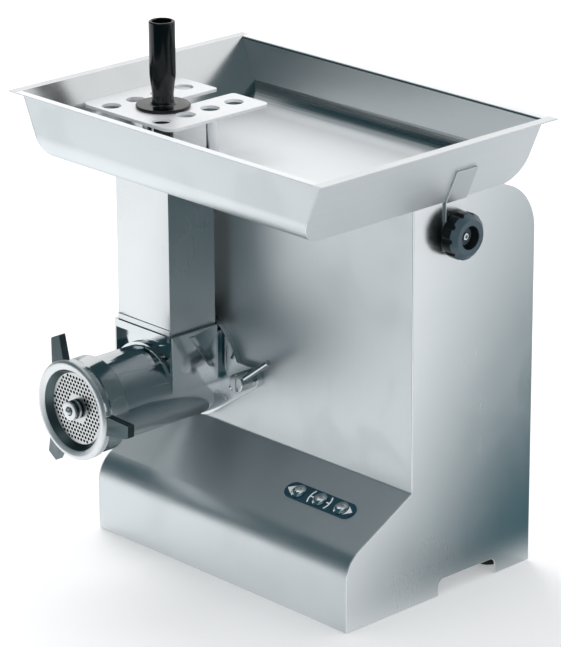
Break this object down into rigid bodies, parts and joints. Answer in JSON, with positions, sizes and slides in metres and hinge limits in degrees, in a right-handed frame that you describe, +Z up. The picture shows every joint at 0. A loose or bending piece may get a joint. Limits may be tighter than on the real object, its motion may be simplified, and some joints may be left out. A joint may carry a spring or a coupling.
{
  "type": "electric meat grinder",
  "caption": "Bench meat grinder: folded steel stand with geared motor, side-mounted grinding head, square chute, removable feed tray with guard plate and pestle, push-button console.",
  "frame": {"origin": "centre of the bounding box, on the floor under the rubber feet", "axes": "+Z up, -Y towards the operator and the grinding head, +X to the operator's right"},
  "size_m": [0.56, 0.45, 0.685],
  "materials": {
    "satin_steel": "satin stainless sheet",
    "polished_casting": "polished tinned casting",
    "bright_steel": "bright turned steel",
    "tool_steel": "ground steel",
    "cast_worm": "tinned casting",
    "shaft_steel": "oiled machined steel",
    "gearbox_alloy": "cast alloy",
    "motor_paint": "matt paint",
    "core_steel": "stacked laminations",
    "black_gloss": "gloss moulded black",
    "knob_black": "satin moulded black",
    "panel_film": "dark printed film",
    "button_chrome": "polished",
    "foot_rubber": "matt black rubber",
    "moulded_black": "moulded black"
  },
  "bodies": {
    "stand": {"base_plate": "satin_steel", "cable_gland": "moulded_black", "control_plate": "panel_film", "cover_screws": "bright_steel", "drive_bearings": "shaft_steel", "drive_bracket": "shaft_steel", "electrics_box": "moulded_black", "flange_screws": "bright_steel", "front_panel": "satin_steel", "gearbox_cover": "gearbox_alloy", "gearbox_housing": "gearbox_alloy", "gearbox_screws": "bright_steel", "head_body": "polished_casting", "head_flange": "polished_casting", "hole_plate": "tool_steel", "idler_bearings": "shaft_steel", "knob_stud": "bright_steel", "left_side_panel": "satin_steel", "motor_bearings": "shaft_steel", "motor_end_shield": "motor_paint", "motor_shell": "motor_paint", "plate_key": "bright_steel", "rear_cover": "satin_steel", "right_side_panel": "satin_steel", "rubber_feet": "foot_rubber", "shaft_seal": "foot_rubber", "stator": "core_steel", "stud_nut": "bright_steel", "switch_blocks": "moulded_black"},
    "worm_drive": {"drive_shaft": "shaft_steel", "final_gear": "shaft_steel", "worm": "cast_worm", "worm_stud": "bright_steel", "knife": "tool_steel", "thrust_washer": "tool_steel"},
    "idler_set": {"idler_shaft": "shaft_steel", "idler_gear": "shaft_steel", "idler_pinion": "shaft_steel"},
    "motor_rotor": {"motor_shaft": "shaft_steel", "motor_pinion": "shaft_steel", "rotor": "core_steel", "motor_fan": "moulded_black"},
    "ring": {"ring_nut": "polished_casting"},
    "clamp": {"clamp_screw": "bright_steel", "clamp_lever": "bright_steel"},
    "tray": {"tray_pan": "satin_steel", "tray_end_left": "satin_steel", "tray_end_right": "satin_steel", "chute": "satin_steel", "tray_bracket": "satin_steel", "guard_plate": "satin_steel", "guard_legs": "satin_steel"},
    "pestle": {"pestle": "black_gloss"},
    "knob": {"tray_knob": "knob_black"},
    "reverse": {"reverse_button": "button_chrome"},
    "stop": {"stop_button": "button_chrome"},
    "start": {"start_button": "button_chrome"}
  },
  "joints": [
    {"name": "worm_spin", "type": "hinge", "parent": "stand", "child": "worm_drive", "pos_m": [-0.157, 0, 0.212], "axis": [0, 1, 0], "continuous": true},
    {"name": "idler_spin", "type": "hinge", "parent": "stand", "child": "idler_set", "pos_m": [-0.089, 0, 0.212], "axis": [0, 1, 0], "continuous": true},
    {"name": "motor_spin", "type": "hinge", "parent": "stand", "child": "motor_rotor", "pos_m": [-0.021, 0, 0.212], "axis": [0, 1, 0], "continuous": true},
    {"name": "ring_nut_spin", "type": "hinge", "parent": "stand", "child": "ring", "pos_m": [-0.157, -0.19, 0.212], "axis": [0, 1, 0], "continuous": true},
    {"name": "clamp_turn", "type": "hinge", "parent": "stand", "child": "clamp", "pos_m": [-0.052, -0.02, 0.228], "axis": [0, -1, 0], "range_deg": [-110, 70]},
    {"name": "tray_lift", "type": "slide", "parent": "stand", "child": "tray", "axis": [0, 0, 1], "range_m": [0, 0.25]},
    {"name": "pestle_lift", "type": "slide", "parent": "tray", "child": "pestle", "axis": [0, 0, 1], "range_m": [0, 0.25]},
    {"name": "knob_turn", "type": "hinge", "parent": "stand", "child": "knob", "pos_m": [0.24, 0.068, 0.472], "axis": [1, 0, 0], "continuous": true},
    {"name": "reverse_press", "type": "slide", "parent": "stand", "child": "reverse", "axis": [0, 0.4783, -0.8782], "range_m": [0, 0.002], "stiffness_N_per_m": 1000, "springref_m": -0.003},
    {"name": "stop_press", "type": "slide", "parent": "stand", "child": "stop", "axis": [0, 0.4783, -0.8782], "range_m": [0, 0.002], "stiffness_N_per_m": 1000, "springref_m": -0.003},
    {"name": "start_press", "type": "slide", "parent": "stand", "child": "start", "axis": [0, 0.4783, -0.8782], "range_m": [0, 0.002], "stiffness_N_per_m": 1000, "springref_m": -0.003}
  ],
  "couplings": [
    {"joint": "idler_spin", "follows": "worm_spin", "ratio": -3},
    {"joint": "motor_spin", "follows": "worm_spin", "ratio": 9}
  ]
}
